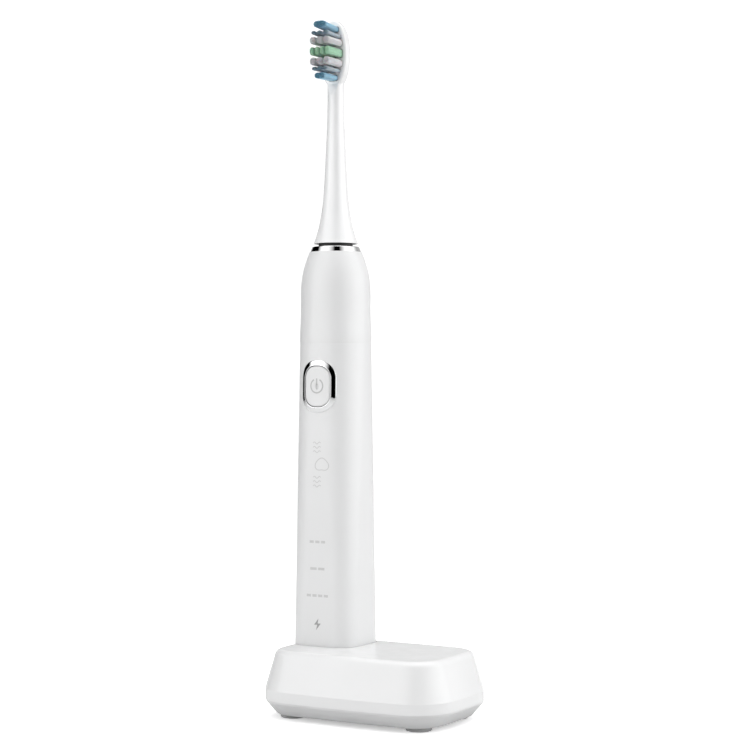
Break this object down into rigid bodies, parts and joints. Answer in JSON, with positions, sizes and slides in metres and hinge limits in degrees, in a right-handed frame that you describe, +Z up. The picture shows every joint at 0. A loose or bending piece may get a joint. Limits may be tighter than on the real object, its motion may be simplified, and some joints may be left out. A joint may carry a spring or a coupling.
{
  "type": "electric toothbrush on charging base",
  "caption": "Upright sonic electric toothbrush with slim neck and tufted brush head, standing on a low rounded-rectangle inductive charging base.",
  "frame": {"origin": "middle of the charging base at the level its feet stand on", "axes": "+Z up; +X along the base, away from the handle's end; -Y is the side the button and bristles face"},
  "size_m": [0.0808, 0.055, 0.2725],
  "materials": {
    "white_gloss_shell": "glossy injection-moulded white ABS",
    "grey_white_tray": "fine-textured off-white ABS",
    "white_satin_shell": "satin white, soft to the touch",
    "white_button": "semi-gloss white",
    "chrome_trim": "polished chrome plating",
    "white_head": "glossy white polypropylene",
    "black_seal": "black elastomer",
    "grey_rubber": "grey non-slip rubber",
    "clear_seal_rubber": "translucent silicone",
    "grey_cap": "satin white",
    "bristle_blue": "blue nylon filament",
    "bristle_slate": "slate grey nylon filament",
    "bristle_grey": "grey nylon filament",
    "bristle_green": "green nylon filament",
    "staple_metal": "plain brass strip",
    "steel": "plain steel",
    "magnet": "nickel-plated magnet",
    "ferrite": "sintered ferrite",
    "copper_wire": "enamelled copper wire",
    "bronze": "sintered bronze",
    "nickel_strip": "nickel strip",
    "board": "green solder mask",
    "component_black": "black moulding compound",
    "lamp": "clear resin",
    "light_guide": "clear polycarbonate",
    "inner_moulding": "dark engineering plastic",
    "battery_sleeve": "shrink-sleeved steel can",
    "foam": "closed-cell foam",
    "wire_sleeve": "silicone wire insulation"
  },
  "bodies": {
    "charger": {"base_cover": "white_gloss_shell", "base_tray": "grey_white_tray", "base_screws": "steel", "base_gasket": "clear_seal_rubber", "charger_pcb": "board", "charger_components": "component_black", "usb_shell": "steel", "usb_tongue": "component_black", "primary_bobbin": "inner_moulding", "primary_coil": "copper_wire", "ferrite_core": "ferrite", "coil_leads": "wire_sleeve", "foot_front_left": "grey_rubber", "foot_front_right": "grey_rubber", "foot_back_left": "grey_rubber", "foot_back_right": "grey_rubber"},
    "handle": {"handle_housing": "white_satin_shell", "button_bezel": "chrome_trim", "button_boot": "clear_seal_rubber", "tactile_switch": "component_black", "collar_ring": "chrome_trim", "seal_carrier": "inner_moulding", "shaft_seal": "black_seal", "carrier_frame": "inner_moulding", "main_pcb": "board", "pcb_chips": "component_black", "mode_leds": "lamp", "light_guide": "light_guide", "battery_cell": "battery_sleeve", "battery_tabs": "nickel_strip", "battery_pad": "foam", "motor_can": "steel", "motor_front_cap": "steel", "motor_rear_cap": "steel", "stator_core": "steel", "stator_coil": "copper_wire", "front_bush": "bronze", "rear_bush": "bronze", "bottom_cap": "grey_cap", "cap_seal": "clear_seal_rubber", "receiver_bobbin": "inner_moulding", "receiver_coil": "copper_wire"},
    "button": {"power_button": "white_button", "switch_plunger": "component_black"},
    "rotor": {"drive_shaft": "steel", "rotor_yoke": "steel", "rotor_magnets": "magnet"},
    "brush": {"head_body": "white_head", "head_insert": "inner_moulding", "tuft_anchors": "staple_metal", "tuft_row_1_blue": "bristle_blue", "tuft_row_2_slate": "bristle_slate", "tuft_row_3_grey": "bristle_grey", "tuft_row_4_green": "bristle_green", "tuft_row_5_grey": "bristle_grey", "tuft_row_6_slate": "bristle_slate", "tuft_row_7_blue": "bristle_blue"}
  },
  "joints": [
    {"name": "handle_lift", "type": "slide", "parent": "charger", "child": "handle", "axis": [0, 0, 1], "range_m": [0, 0.03]},
    {"name": "button_press", "type": "slide", "parent": "handle", "child": "button", "axis": [0, 1, 0], "range_m": [0, 0.0005], "stiffness_N_per_m": 2000},
    {"name": "shaft_swing", "type": "hinge", "parent": "handle", "child": "rotor", "pos_m": [-0.023, 0.0092, 0.15], "axis": [0, 0, 1], "range_deg": [-4.5, 4.5], "stiffness_Nm_per_rad": 0.05},
    {"name": "brush_pull", "type": "slide", "parent": "rotor", "child": "brush", "axis": [0, 0, 1], "range_m": [0, 0.03]}
  ]
}
